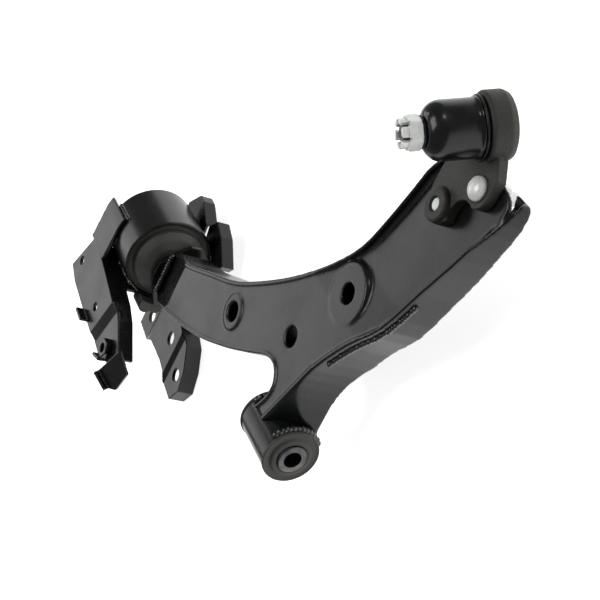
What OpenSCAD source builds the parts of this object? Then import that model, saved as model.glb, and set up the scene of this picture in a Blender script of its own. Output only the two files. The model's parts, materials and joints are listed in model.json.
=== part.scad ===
// Front lower suspension control arm: a two-shell pressed arm with a small front bush,
// a large rear bush held in a pressed bracket, and a bolted-on ball joint.
// Frame: origin at the centre of the front bush, X along its bore towards the front of
// the car, Y outboard to the ball joint, Z square to the arm plate on the stud side.

/* [Arm shells] */
// Thickness of the pressed sheet
sheet_t = 3; // [2:0.5:4]
// Height of the arm's top plate above the front bush axis
plate_z = 20; // [18:0.5:22]
// Depth of the recess that the ball joint sits in
recess_d = 5; // [3:0.5:7]
// Height of the side walls' top edge above the front bush axis
wall_z = 21.5; // [20.5:0.5:24]
// Depth of the underside below the front bush axis, at the inner end
floor_z = 18; // [16:0.5:20]
// Depth of the underside below the front bush axis, at the ball joint end
floor_tip_z = 1; // [0:0.5:4]
// Height of the arm's top where it meets the stop plate, above the front bush axis
neck_z = 7; // [5:0.5:12]
// Diameter of the three holes in the top plate
plate_hole_d = 15.8; // [12:0.2:17]

/* [Front bush] */
// Outer diameter of the front bush tube
tube_od = 45; // [42:0.5:48]
// Length of the front bush tube
tube_l = 50; // [44:1:54]
// Length of the inner sleeve
sleeve_l = 62; // [58:1:66]
// Outer diameter of the inner sleeve
sleeve_od = 24; // [22:0.5:28]
// Bore of the inner sleeve, for the pivot bolt
sleeve_bore_d = 14.2; // [12.2:0.1:16.2]

/* [Rear bush] */
// Distance from the front bush centre back to the front rim of the rear shell
rear_rim_x = 284; // [276:1:292]
// Offset of the rear bush axis from the front bush axis, inboard
rear_axis_y = 17; // [10:0.5:22]
// Height of the rear bush axis above the front bush axis
rear_axis_z = 2; // [0:0.5:4]
// Outer diameter of the rear bush shell
shell_od = 82; // [76:0.5:86]
// Length of the rear bush shell
shell_l = 63; // [56:1:68]
// Diameter of the pin through the rear bush
stub_d = 18; // [16:0.5:20]

/* [Rear bracket] */
// Height of the upper bracket's plate above the rear bush axis
upper_plate_h = 46; // [44:0.5:50]
// Thickness of the bracket sheet
bracket_t = 3.5; // [3:0.5:4]
// Depth of the upper bracket's side flange
upper_flange_d = 15; // [12:1:20]
// Depth of the lower bracket's side flange
lower_flange_d = 19; // [14:1:24]
// Diameter of the bolt holes in the lower bracket
bolt_hole_d = 12.6; // [10:0.2:14]
// Diameter of the locating holes in the upper bracket
locate_hole_d = 8.2; // [6:0.2:10]

/* [Ball joint] */
// Lean of the ball stud inboard, from square to the plate
stud_lean_in = 25; // [15:1:30]
// Lean of the ball stud rearwards
stud_lean_back = 8; // [0:1:12]
// Diameter of the ball
ball_d = 25; // [22:0.5:27]
// Diameter of the housing's round body
housing_d = 48; // [44:0.5:52]
// Thickness of the housing's lug
lug_t = 8; // [6:0.5:9]
// Diameter of the dust boot
boot_d = 40; // [38:0.5:42]
// Height of the dust boot
boot_h = 39; // [36:0.5:40]
// Width of the castle nut across its flats
nut_af = 21; // [19:0.5:24]
// Diameter of the lug's bolt holes
lug_hole_d = 10.4; // [8.4:0.2:12.4]

/* [Hidden] */
$fn = 64;
gap = 0.05;
bore_f = 96;
recess_z = plate_z - recess_d;
shell_front = -rear_rim_x;
shell_back = -rear_rim_x - shell_l;
shell_wall = 2.5;
shell_r = shell_od / 2;
stop_front = shell_front + 18;
stop_t = 4;
upper_z = rear_axis_z + upper_plate_h;
lower_z = rear_axis_z - shell_r - gap;
ball_at = [80, 312, 24];
ear_boss = [70, 246];
ear_bolt = [98, 275];
lug_z = recess_z + gap;
plate_holes = [[-111, 38], [-20, 76], [20, 142]];
lower_bolt_holes = [[-349, -112], [-291, -100], [-256, -118]];
upper_locate_holes = [[-358, -74], [-290, -83]];
weld_nut_at = [-238, -94];

// ---- curves -------------------------------------------------------------------------

// Point on a smooth curve through b and c, at the fraction t from b to c.
function spline_point(a, b, c, d, t) =
    0.5 * (2 * b + (c - a) * t + (2 * a - 5 * b + 4 * c - d) * t * t
        + (3 * b - a - 3 * c + d) * t * t * t);

// Closed smooth outline through the points of a list, with n steps a span.
function smooth_loop(p, n) =
    let (m = len(p))
    [for (i = [0 : m - 1]) for (k = [0 : n - 1])
        spline_point(p[(i + m - 1) % m], p[i], p[(i + 1) % m], p[(i + 2) % m], k / n)];

// The same closed outline moved inwards by d; the outline runs anticlockwise.
function inset_loop(p, d) =
    let (m = len(p))
    [for (i = [0 : m - 1])
        let (v = p[(i + 1) % m] - p[(i + m - 1) % m])
        p[i] + d * [-v[1], v[0]] / norm(v)];

// Outline of the arm at the outside of its walls, anticlockwise from the rear end.
arm_points = [
    [-266, -44], [-223, -33], [-182, -23], [-141, -9], [-98, 11], [-62, 31],
    [-38, 45], [-22, 47], [-12, 38], [-12, 26], [-19, 12], [-22, -4], [0, -6],
    [20, -4], [18, 20], [18, 48], [27, 78], [50, 115], [76, 148], [96, 191],
    [115, 231], [128, 268], [124, 284], [100, 289], [60, 281], [38, 262],
    [30, 238], [20, 206], [8, 176], [-14, 148], [-46, 117], [-81, 89],
    [-127, 58], [-172, 38], [-214, 20], [-266, 1]];
arm_outline = smooth_loop(arm_points, 3);
wall_inside = inset_loop(arm_outline, sheet_t);
plate_edge = inset_loop(arm_outline, sheet_t + gap);
flange_inside = smooth_loop(inset_loop(arm_points, 2 * sheet_t), 3);

// ---- helpers ------------------------------------------------------------------------

// Lays a rotation solid made along Z down onto an axis along X through the point p.
module along_x(p) {
    translate(p) rotate([90, 0, 90]) children();
}

// Places children on the ball joint's leaning axis, with Z along the stud.
module on_stud() {
    translate(ball_at) rotate([stud_lean_in, -stud_lean_back, 0]) children();
}

// Ring along Z from z0 to z1.
module ring(r_out, r_in, z0, z1) {
    difference() {
        translate([0, 0, z0]) cylinder(r = r_out, h = z1 - z0, $fn = bore_f);
        translate([0, 0, z0 - 1]) cylinder(r = r_in, h = z1 - z0 + 2, $fn = bore_f);
    }
}

// Band between two heights that follow the arm from its inner to its outer end.
module level_band(points) {
    translate([-320, 0, 0])
        rotate([90, 0, 90])
            linear_extrude(height = 500) polygon(points);
}

// Everything outside the slope of the front leg, moved inwards by d.
module outside_leg_slope(d) {
    translate([-4, -2, plate_z])
        rotate([0, 0, 68.8]) rotate([65.7, 0, 0])
            translate([-30, -70, -d]) cube([115.8, 120, 70]);
}

// Everything above the slope of the rear end, moved downwards by d.
module above_neck(d) {
    run = 48;
    translate([stop_front + run, 0, plate_z - d])
        rotate([0, -atan((plate_z - neck_z) / run), 0])
            translate([-120, -80, 0]) cube([120, 160, 40]);
}

// Everything behind the front face of the stop plate.
module behind_stop_plate() {
    translate([stop_front - 60, -100, -60]) cube([60 + gap, 200, 120]);
}

// Clears the tube of the front bush.
module tube_clearance() {
    along_x([-60, 0, 0]) cylinder(d = tube_od + 2 * gap, h = 120, $fn = bore_f);
}

// ---- arm ----------------------------------------------------------------------------

// Upper shell: top plate stepped down to the ball joint seat, with a flange turned down
// inside the walls, where the two shells are welded together.
module arm_upper_shell() color("#17181a") {
    t = sheet_t;
    difference() {
        union() {
            difference() {
                intersection() {
                    translate([0, 0, -40]) linear_extrude(height = 80) polygon(plate_edge);
                    level_band([
                        [-80, plate_z], [126, plate_z], [166, recess_z + 1],
                        [222, recess_z], [300, recess_z], [300, recess_z - t],
                        [252, recess_z - t], [252, 4], [221, 4], [195, 5], [-80, 5]]);
                }
                difference() {
                    intersection() {
                        translate([0, 0, -40]) linear_extrude(height = 80)
                            polygon(flange_inside);
                        level_band([
                            [-90, plate_z - t], [125, plate_z - t],
                            [165, recess_z + 1 - t], [221, recess_z - t],
                            [260, recess_z - t], [260, -10], [-90, -10]]);
                    }
                    outside_leg_slope(2 * t);
                    above_neck(t);
                }
                outside_leg_slope(t + gap);
                above_neck(0);
            }
            // raised pads around two of the holes
            intersection() {
                translate([plate_holes[2][0], plate_holes[2][1], recess_z - 1])
                    cylinder(r1 = 26.5, r2 = 23.5, h = recess_d + 1.4, $fn = bore_f);
                translate([0, 0, recess_z - t + 0.5]) linear_extrude(height = 20)
                    polygon(plate_edge);
            }
            translate([plate_holes[0][0], plate_holes[0][1], plate_z - 1])
                cylinder(r1 = 17, r2 = 14.5, h = 2.4, $fn = bore_f);
        }
        for (p = plate_holes)
            translate([p[0], p[1], -5])
                cylinder(d = plate_hole_d, h = 40, $fn = bore_f);
        for (p = [ear_boss, ear_bolt])
            translate([p[0], p[1], recess_z - 10])
                cylinder(d = lug_hole_d, h = 20, $fn = bore_f);
        tube_clearance();
        behind_stop_plate();
    }
}

// Lower shell: underside and side walls, up to just above the top plate.
module arm_lower_shell() color("#141517") {
    t = sheet_t;
    difference() {
        intersection() {
            translate([0, 0, -40]) linear_extrude(height = 80) polygon(arm_outline);
            level_band([
                [-80, -floor_z], [58, -floor_z], [96, -floor_z - 3], [130, -floor_z + 2],
                [198, -floor_z + 7], [240, -floor_tip_z - 4], [285, -floor_tip_z],
                [300, -floor_tip_z], [300, wall_z], [-80, wall_z]]);
        }
        difference() {
            intersection() {
                translate([0, 0, -40]) linear_extrude(height = 90) polygon(wall_inside);
                level_band([
                    [-80, t - floor_z], [58, t - floor_z], [96, t - floor_z - 3],
                    [130, t - floor_z + 2], [198, t - floor_z + 7],
                    [240, t - floor_tip_z - 4], [285, t - floor_tip_z],
                    [300, t - floor_tip_z], [300, 60], [-80, 60]]);
            }
            outside_leg_slope(t);
        }
        outside_leg_slope(0);
        above_neck(-1.5);
        // the ball joint end has no wall, so that the lug passes out over it
        translate([44, 254, t - floor_tip_z]) cube([77, 60, 80]);
        translate([44, 283, -40]) cube([90, 30, 80]);
        translate([ear_bolt[0], ear_bolt[1], -20]) cylinder(r = 12.5, h = 40, $fn = bore_f);
        // the right wall runs down to the floor at its end
        intersection() {
            translate([90, 225, -40]) cube([60, 80, 100]);
            level_band([[225, 60], [225, wall_z + 1], [238, wall_z], [267, 14.5],
                [277, 10.5], [281, 7], [283, 2.6], [300, 2.6], [300, 60]]);
        }
        // the foot is cut to the front bush tube, and its thin tips are cut square
        tube_clearance();
        translate([-40, 0, 19]) cube([80, 9, 10]);
        translate([-40, 0, -30]) cube([80, 14.6, 13]);
        behind_stop_plate();
        // the rear end is open against the stop plate
        translate([-275, -41, t - floor_z]) cube([10, 39, neck_z + floor_z - 2 * t]);
    }
}

// Lap weld along the front wall, just below its top edge.
module arm_seam_weld() color("#1d1e20") {
    wall = [for (i = [0 : len(arm_outline) - 1])
        if (arm_outline[i][0] > 27 && arm_outline[i][0] < 96
            && arm_outline[i][1] < 192) arm_outline[i]];
    m = len(wall);
    outer = [for (i = [0 : m - 1])
        let (v = wall[min(i + 1, m - 1)] - wall[max(i - 1, 0)])
        wall[i] + 2.2 * [v[1], -v[0]] / norm(v)];
    inner = [for (i = [m - 1 : -1 : 0])
        let (v = wall[min(i + 1, m - 1)] - wall[max(i - 1, 0)])
        wall[i] + gap * [v[1], -v[0]] / norm(v)];
    translate([0, 0, plate_z - 7.5]) linear_extrude(height = 4)
        polygon(concat(outer, inner));
}

// Bead where the top plate meets the stop plate.
module arm_end_weld() color("#1d1e20")
    translate([stop_front + gap, -3, neck_z + 1.6])
        rotate([90, 0, 0])
            linear_extrude(height = 36)
                polygon([[0, 0.3], [4.6, 1.6], [3.4, 3.4], [1.5, 4.6], [0, 5]]);

// ---- front bush ---------------------------------------------------------------------

module front_bush_tube() color("#1b1c1e")
    along_x([0, 0, 0]) ring(tube_od / 2, tube_od / 2 - 2.5, -tube_l / 2, tube_l / 2);

// Weld beads around the foot of the arm, on both faces of the front leg.
module front_bush_weld() color("#242528") {
    for (x = [-24, 21])
        along_x([x, 0, 0])
            rotate([0, 0, -55])
                rotate_extrude(angle = 110, $fn = bore_f)
                    translate([tube_od / 2 + gap, 0])
                        polygon([[0, 0], [2.8, 0.3], [3.2, 1.6], [1.8, 2.9], [0, 3.2]]);
}

module front_bush_rubber() color("#222222") {
    lip = tube_l / 2;
    r_tube = tube_od / 2 - 2.5 - gap;
    r_in = sleeve_od / 2 + gap;
    along_x([0, 0, 0])
        rotate_extrude($fn = bore_f)
            polygon([
                [r_in, -lip - 4], [r_in + 3, -lip - 4.5], [r_in + 6, -lip - 2.5],
                [tube_od / 2 - 1, -lip - 3.2], [tube_od / 2 + 0.7, -lip - 2],
                [tube_od / 2 + 0.7, -lip - gap], [r_tube, -lip - gap],
                [r_tube, lip + gap], [tube_od / 2 + 0.7, lip + gap],
                [tube_od / 2 + 0.7, lip + 2], [tube_od / 2 - 1, lip + 3.2],
                [r_in + 6, lip + 2.5], [r_in + 3, lip + 4.5], [r_in, lip + 4]]);
}

module front_inner_sleeve() color("#6d6f72")
    along_x([0, 0, 0])
        difference() {
            ring(sleeve_od / 2, sleeve_bore_d / 2, -sleeve_l / 2, sleeve_l / 2);
            for (z = [-sleeve_l / 2, sleeve_l / 2])
                translate([0, 0, z]) rotate_extrude($fn = bore_f)
                    translate([sleeve_od / 2, 0]) rotate(45) square(1.2, center = true);
        }

// ---- rear bush ----------------------------------------------------------------------

// Eight-sided stop plate welded across the rear end of the arm.
module rear_stop_plate() color("#191a1c")
    difference() {
        along_x([stop_front - stop_t, 0, 0])
            linear_extrude(height = stop_t)
                polygon([
                    [-40, -27], [0, -27], [11, -17], [11, -4], [-12, 19],
                    [-28, 20], [-55, 7], [-55, -13]]);
        along_x([stop_front - stop_t - 1, -rear_axis_y, rear_axis_z])
            cylinder(d = stub_d + 2 * gap, h = stop_t + 2, $fn = bore_f);
    }

// Pin through the rear bush, with a shouldered threaded end.
module rear_stub_pin() color("#3a3b3d")
    along_x([0, -rear_axis_y, rear_axis_z])
        rotate_extrude($fn = bore_f)
            polygon([
                [0, shell_back - 24], [6, shell_back - 24], [7, shell_back - 23],
                [7, shell_back - 5], [stub_d / 2, shell_back - 5],
                [stub_d / 2, stop_front - 0.6], [stub_d / 2 - 0.6, stop_front],
                [0, stop_front]]);

module rear_inner_sleeve() color("#4a4b4d")
    along_x([0, -rear_axis_y, rear_axis_z])
        ring(14, stub_d / 2 + gap, shell_back - 4, stop_front - stop_t - gap);

module rear_bush_rubber() color("#1d1d1d") {
    r_out = shell_r - shell_wall - gap;
    r_in = 14 + gap;
    along_x([0, -rear_axis_y, rear_axis_z])
        rotate_extrude($fn = bore_f)
            polygon([
                [r_in, shell_back - 2], [20, shell_back - 2], [23, shell_back + 6],
                [r_out - 4, shell_back + 7], [r_out, shell_back + 3],
                [r_out, shell_front - 3], [r_out - 3, shell_front - 4.5],
                [r_out - 6, shell_front - 3], [33, shell_front + 4],
                [28, shell_front + 9], [20, shell_front + 12],
                [r_in, shell_front + 12]]);
}

module rear_pin_washer() color("#55575a")
    along_x([0, -rear_axis_y, rear_axis_z])
        ring(22, 7.1, shell_back - 5 - gap - 3.5, shell_back - 5 - gap);

module rear_pin_nut() color("#8b8d90")
    along_x([shell_back - 19, -rear_axis_y, rear_axis_z])
        difference() {
            union() {
                cylinder(d = 22 / cos(30), h = 10, $fn = 6);
                translate([0, 0, 8]) cylinder(d = 27, h = 2.4, $fn = bore_f);
            }
            translate([0, 0, -1]) cylinder(r = 7.02, h = 14, $fn = bore_f);
        }

// ---- rear bracket -------------------------------------------------------------------

module rear_bush_shell() color("#17181a")
    along_x([0, -rear_axis_y, rear_axis_z])
        rotate_extrude($fn = bore_f)
            polygon([
                [shell_r - shell_wall, shell_back], [shell_r - 0.8, shell_back],
                [shell_r, shell_back + 0.8], [shell_r, shell_front - 0.8],
                [shell_r - 0.8, shell_front], [shell_r - shell_wall, shell_front]]);

// Clears the outside of the rear bush shell.
module shell_clearance() {
    along_x([shell_back - 60, -rear_axis_y, rear_axis_z])
        cylinder(r = shell_r + gap, h = shell_l + 120, $fn = bore_f);
}

// An open path moved sideways by d, with mitred corners.
function side_path(p, d) =
    let (m = len(p))
    [for (i = [0 : m - 1])
        let (
            v1 = p[max(i, 1)] - p[max(i, 1) - 1],
            v2 = p[min(i + 1, m - 1)] - p[min(i + 1, m - 1) - 1],
            n1 = [v1[1], -v1[0]] / norm(v1),
            n2 = [v2[1], -v2[0]] / norm(v2))
        p[i] + d * (n1 + n2) / (1 + n1 * n2)];

function backwards(p) = [for (i = [len(p) - 1 : -1 : 0]) p[i]];

// Upright flange of thickness t below the edge of a plate, to the right of the path.
module edge_flange(path, t, z0, z1) {
    translate([0, 0, z0])
        linear_extrude(height = z1 - z0)
            polygon(concat(path, backwards(side_path(path, t))));
}

// Plate bounded by a list of points, with its top face at the height z.
module flat_sheet(points, t, z) {
    translate([0, 0, z - t]) linear_extrude(height = t) polygon(points);
}

// Upper bracket: main plate, joggled foot, end tab, side flange and saddle strap.
module upper_bracket() color("#1a1b1d") {
    step_z = 4;
    difference() {
        union() {
            flat_sheet([
                [-375, -89], [-352, -43], [-305, -51], [-262, -59], [-277, -104],
                [-318, -100], [-354, -96]], bracket_t, upper_z);
            // sloped joggle between the main plate and the foot
            translate([-262.5, -59.3, upper_z]) rotate([90, 0, -18.4])
                linear_extrude(height = 46.5) polygon([
                    [-1, 0], [0, 0], [11, -step_z], [12, -step_z],
                    [12, -step_z - bracket_t], [11, -step_z - bracket_t],
                    [0, -bracket_t], [-1, -bracket_t]]);
            flat_sheet([
                [-253, -62], [-244, -66], [-212, -87], [-214, -100], [-234, -105],
                [-253, -110], [-269, -108]], bracket_t, upper_z - step_z);
            // tab below the weld nut
            translate([-212.5, -95, upper_z - step_z])
                rotate([0, 30, -28]) {
                    flat_sheet([[-8, -24], [12, -24], [17, -17], [14, 8], [-7, 16]],
                        bracket_t, 0);
                    translate([-8, -27, -bracket_t]) cube([19, 3.2, 8]);
                }
            // side flange down the inner edge, deeper along the shell
            edge_flange([
                [-350, -43.3], [-305, -51], [-262.5, -59], [-252, -63], [-244, -66],
                [-212, -87]], bracket_t, upper_z - upper_flange_d - step_z, upper_z - 5);
            edge_flange([[-350, -43.3], [-305, -51], [-264, -58.7]],
                bracket_t, upper_z - 8, upper_z - 1);
            edge_flange([[-350, -43.3], [-305, -51], [-285, -54.7]],
                bracket_t, upper_z - 30, upper_z - 8);
            // wing that runs from the plate over the top of the shell
            along_x([shell_back - 14, -rear_axis_y, rear_axis_z])
                linear_extrude(height = 42) union() {
                    polygon([
                        [0, shell_r - 1], [0, shell_r + bracket_t],
                        [-30, upper_plate_h], [-30, upper_plate_h - bracket_t]]);
                    intersection() {
                        difference() {
                            circle(r = shell_r + bracket_t, $fn = bore_f);
                            circle(r = shell_r - 1, $fn = bore_f);
                        }
                        polygon([[0, 0], [70 * cos(71), 70 * sin(71)], [0, 75]]);
                    }
                }
            // small tabs that stand up from the outer edge
            translate([-312, -102.3, upper_z - 2]) rotate([0, 0, -3])
                cube([18, 3, 9]);
            translate([-250, -110.3, upper_z - step_z - 2.5]) rotate([0, 0, 14.7])
                cube([15, 3, 9]);
        }
        for (p = upper_locate_holes)
            translate([p[0], p[1], upper_z - 10])
                cylinder(d = locate_hole_d, h = 20, $fn = bore_f);
        translate([weld_nut_at[0], weld_nut_at[1], upper_z - 20])
            cylinder(d = 10.4, h = 40, $fn = bore_f);
        shell_clearance();
    }
}

// Slab of thickness t that rises beside the shell, for the fingers of the lower bracket.
module rising_slab(t) {
    along_x([-400, 0, 0]) linear_extrude(height = 160)
        polygon([
            [-12, lower_z], [-8, lower_z], [40, lower_z + 14],
            [40, lower_z + 14 - t], [-8, lower_z - t], [-12, lower_z - t]]);
}

// Lower bracket: stepped plate with three bolt holes, two raised fingers and a flange.
module lower_bracket() color("#1a1b1d") {
    step = 2.5;
    t = bracket_t;
    low_z = lower_z - step;
    finger_edge = 13;
    difference() {
        union() {
            // one sheet, joggled down around the first and the third bolt hole
            intersection() {
                translate([0, 0, -90]) linear_extrude(height = 80) polygon([
                    [-366, -131], [-339, -134], [-330, -128], [-324, -126],
                    [-293, -127], [-278, -130], [-272, -138], [-248, -141],
                    [-239, -125], [-246, -106], [-261, -88], [-283, -80],
                    [-284, -62], [-368, -62]]);
                translate([0, 60, 0]) rotate([90, 0, 0]) linear_extrude(height = 240)
                    polygon([
                        [-390, low_z], [-339, low_z], [-331, lower_z],
                        [-276, lower_z], [-269, low_z], [-230, low_z],
                        [-230, low_z - t], [-268, low_z - t], [-275, lower_z - t],
                        [-332, lower_z - t], [-340, low_z - t], [-390, low_z - t]]);
            }
            // cradle under the shell
            flat_sheet([
                [-368, -64], [-284, -64], [-282.5, -30], [-272, -8], [-376, -8],
                [-374, -40]], t, lower_z);
            // two fingers that rise beside the shell
            intersection() {
                union() {
                    translate([0, 0, -60]) linear_extrude(height = 60) polygon([
                        [-276, -12], [-268, -6], [-258, 3], [-272, 25], [-287, 33],
                        [-305, 19], [-312, -4], [-312, -12]]);
                    translate([0, 0, -60]) linear_extrude(height = 60) polygon([
                        [-376, -12], [-326, -12], [-314, 15], [-330, 30],
                        [-340, 31], [-368, 9]]);
                }
                rising_slab(t);
            }
            // turned-down edges of the two fingers
            intersection() {
                union() {
                    edge_flange([[-305, 19], [-287, 33], [-272, 25], [-258, 3],
                        [-268, -6]], t, -80, 0);
                    edge_flange([[-340, 31], [-330, 30], [-314, 15]], t, -80, 0);
                }
                rising_slab(finger_edge);
            }
            // side flange
            edge_flange([
                [-282.1, -30], [-283, -80], [-261, -88], [-246, -106],
                [-239, -125], [-248, -141]],
                t, lower_z - lower_flange_d, lower_z - t);
        }
        for (p = lower_bolt_holes)
            translate([p[0], p[1], lower_z - 20])
                cylinder(d = bolt_hole_d, h = 40, $fn = bore_f);
        shell_clearance();
    }
}

// Bead along the shell, seen square to the bush axis at the angle a.
module shell_bead(a, x0, x1) {
    along_x([x0, -rear_axis_y, rear_axis_z])
        rotate([0, 0, a])
            translate([shell_r + gap, 0, 0])
                linear_extrude(height = x1 - x0)
                    polygon([[0, -2.6], [0.9, -2.1], [2.2, 0], [0.9, 2.1], [0, 2.6]]);
}

module upper_bracket_weld() color("#27282b")
    difference() {
        union() {
            shell_bead(142, shell_back + 26, shell_front - 4);
            shell_bead(68.6, shell_back + 3, shell_back + 26);
        }
        upper_bracket();
        shell_clearance();
    }

module lower_bracket_weld() color("#27282b")
    difference() {
        union() {
            shell_bead(252, shell_back + 18, shell_front - 2);
            shell_bead(288, shell_back + 18, shell_front - 2);
        }
        lower_bracket();
        shell_clearance();
    }

module bracket_weld_nut() color("#2a2b2e")
    translate([weld_nut_at[0], weld_nut_at[1], upper_z - 4 + gap])
        difference() {
            cylinder(d = 16 / cos(30), h = 6, $fn = 6);
            translate([0, 0, -1]) cylinder(d = 8.5, h = 8, $fn = bore_f);
        }

// Rounded lug that stands forward of the shell's rim, between the two brackets.
module bracket_rim_tab() color("#151515")
    difference() {
        along_x([shell_front - 8, -rear_axis_y, rear_axis_z])
            linear_extrude(height = 20) union() {
                rotate(170) translate([shell_r + 4, 0]) circle(r = 7);
                rotate(183) translate([shell_r + 3, 0]) circle(r = 6);
            }
        shell_clearance();
    }

// ---- ball joint ---------------------------------------------------------------------

// Round body with the lug that bolts to the arm.
module ball_joint_housing() color("#2b2c2c") {
    socket_r = ball_d / 2 + 2.6;
    boss_top = lug_z + lug_t + 5;
    body_r = housing_d / 2;
    difference() {
        union() {
            on_stud() rotate_extrude($fn = bore_f) polygon([
                [0, -12], [body_r - 5, -12], [body_r - 2, -10.5], [body_r, -6.5],
                [body_r, 5], [body_r - 0.6, 6.4], [body_r - 2, 7], [17.4, 7],
                [17.4, 11], [0, 11]]);
            difference() {
                translate([0, 0, lug_z]) linear_extrude(height = lug_t) difference() {
                    union() {
                        translate(ear_boss) circle(r = 13, $fn = bore_f);
                        translate(ear_bolt) circle(r = 13.5, $fn = bore_f);
                        polygon([
                            [60, 238], [51, 252], [51, 268], [62, 296], [80, 300],
                            [102, 300], [111.5, 288], [111.5, 274], [79, 236.5]]);
                    }
                    translate([96, 249]) circle(r = 14, $fn = bore_f);
                }
                // room for the foot of the dust boot and its ring
                on_stud() translate([0, 0, 6.9])
                    cylinder(r = boot_d / 2 + 2.4, h = 60, $fn = bore_f);
            }
            translate([ear_boss[0], ear_boss[1], lug_z]) rotate_extrude($fn = bore_f)
                polygon([
                    [0, 0], [12.4, 0], [12.4, boss_top - lug_z - 1.8],
                    [11.6, boss_top - lug_z - 0.5], [10.4, boss_top - lug_z],
                    [0, boss_top - lug_z]]);
        }
        on_stud() {
            translate([0, 0, -13]) cylinder(r = 18.05, h = 4, $fn = bore_f);
            translate([0, 0, -9.1]) cylinder(r = socket_r, h = 13.6, $fn = bore_f);
            translate([0, 0, 4.4]) cylinder(r = 12.6, h = 10, $fn = bore_f);
            rotate_extrude($fn = bore_f)
                polygon([[0, 6], [12.6, 6], [15, 11.1], [0, 11.1]]);
            // groove for the boot's clip ring
            rotate_extrude($fn = bore_f)
                polygon([[17.5, 7.2], [16.6, 7.8], [16.6, 9.6], [17.5, 10.2]]);
        }
        for (p = [ear_boss, ear_bolt])
            translate([p[0], p[1], lug_z - 5])
                cylinder(d = lug_hole_d, h = 30, $fn = bore_f);
        // seat of the bolt head
        translate([ear_bolt[0], ear_bolt[1], lug_z + lug_t - 0.6])
            cylinder(r = 10.2, h = 20, $fn = bore_f);
    }
}

// Pressed cover under the ball, domed so that the ball can swing above it.
module ball_joint_end_plug() color("#333436")
    on_stud() difference() {
        union() {
            translate([0, 0, -11.8]) cylinder(r = 18, h = 2.6, $fn = bore_f);
            intersection() {
                sphere(r = ball_d / 2 + 3, $fn = bore_f);
                translate([0, 0, -20]) cylinder(r = 20, h = 10);
            }
        }
        sphere(r = ball_d / 2 + 0.5, $fn = bore_f);
    }

// Plastic seat that the ball turns in.
module ball_seat() color("#d8d5c8")
    on_stud()
        difference() {
            translate([0, 0, -9]) cylinder(r = ball_d / 2 + 2.55, h = 13.3, $fn = bore_f);
            sphere(r = ball_d / 2 + gap, $fn = bore_f);
        }

// Ball, neck, taper and thread in one forging.
module ball_stud() color("#77797c")
    on_stud() union() {
        difference() {
            sphere(d = ball_d, $fn = bore_f);
            translate([0, 0, -20]) cylinder(r = 20, h = 11.5);
        }
        translate([0, 0, 8]) rotate_extrude($fn = bore_f) polygon([
            [0, 0], [6.6, 0], [6.6, 10], [8.2, 14], [8.2, 17], [7, 39],
            [6.6, 39.5], [6.6, 52], [5.6, 53], [0, 53]]);
    }

module boot_base_ring() color("#3c3d3f")
    on_stud() rotate_extrude($fn = bore_f)
        translate([boot_d / 2 + 0.9 + gap, 9.4]) circle(r = 0.9, $fn = 24);

// Dust boot: straight sides, a round shoulder and a narrow neck.
module dust_boot() color("#101112") {
    r = boot_d / 2;
    top = 8 + boot_h;
    shoulder = 12;
    on_stud() rotate_extrude($fn = bore_f) difference() {
        union() {
            translate([0, 7.2]) square([r, top - 7.2 - shoulder]);
            intersection() {
                translate([r - shoulder, top - shoulder]) circle(r = shoulder);
                translate([0, 7]) square([r + 1, top - 7]);
            }
            translate([0, top - shoulder - 1]) square([r - shoulder, shoulder + 1]);
        }
        translate([-1, 0]) square([17.5 + 1, 14]);
        translate([-1, 13]) square([r - 2.4 + 1, top - shoulder - 13]);
        intersection() {
            translate([r - shoulder, top - shoulder]) circle(r = shoulder - 2.4);
            translate([-1, 7]) square([r + 2, top]);
        }
        translate([-1, 13]) square([r - shoulder + 1, top - 13 - 2.4]);
        translate([-1, 7]) square([8.8, 60]);
    }
}

module boot_neck_ring() color("#202123")
    on_stud() ring(11, 7.8, 8 + boot_h + gap, 8 + boot_h + 1.6);

// Castle nut: hexagon, round crown and six slots.
module castle_nut() color("#c9ccd0") {
    base = 8 + boot_h + 1.8;
    hex_h = 9.6;
    nut_h = 13.8;
    slot_w = 3.2;
    on_stud() translate([0, 0, base]) difference() {
        union() {
            intersection() {
                cylinder(d = nut_af / cos(30), h = hex_h, $fn = 6);
                rotate_extrude($fn = bore_f) polygon([
                    [0, 0], [nut_af / 2 + 0.3, 0], [nut_af / 2 + 1.7, 1],
                    [nut_af / 2 + 1.7, hex_h], [0, hex_h]]);
            }
            translate([0, 0, hex_h - 0.5])
                cylinder(d = nut_af - 0.8, h = nut_h - hex_h + 0.5, $fn = bore_f);
        }
        translate([0, 0, -1]) cylinder(r = 6.65, h = nut_h + 4, $fn = bore_f);
        for (a = [0 : 60 : 120])
            rotate([0, 0, a]) translate([-20, -slot_w / 2, hex_h - 1.5])
                cube([40, slot_w, nut_h]);
    }
}

module lug_bolt() color("#c9ccd0")
    translate([ear_bolt[0], ear_bolt[1], lug_z + lug_t - 0.55]) union() {
        rotate_extrude($fn = bore_f) polygon([
            [0, 0], [8.6, 0], [8.6, 1.6], [8, 3.2], [6, 5], [3, 6], [0, 6.3]]);
        translate([0, 0, -30]) cylinder(r = 5, h = 30.5, $fn = bore_f);
    }

module lug_bolt_nut() color("#b9bcc0")
    translate([ear_bolt[0], ear_bolt[1], recess_z - sheet_t - gap])
        difference() {
            union() {
                translate([0, 0, -10]) cylinder(d = 16 / cos(30), h = 9, $fn = 6);
                translate([0, 0, -2]) cylinder(d = 21, h = 2, $fn = bore_f);
            }
            translate([0, 0, -12]) cylinder(r = 5.02, h = 14, $fn = bore_f);
        }

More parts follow.
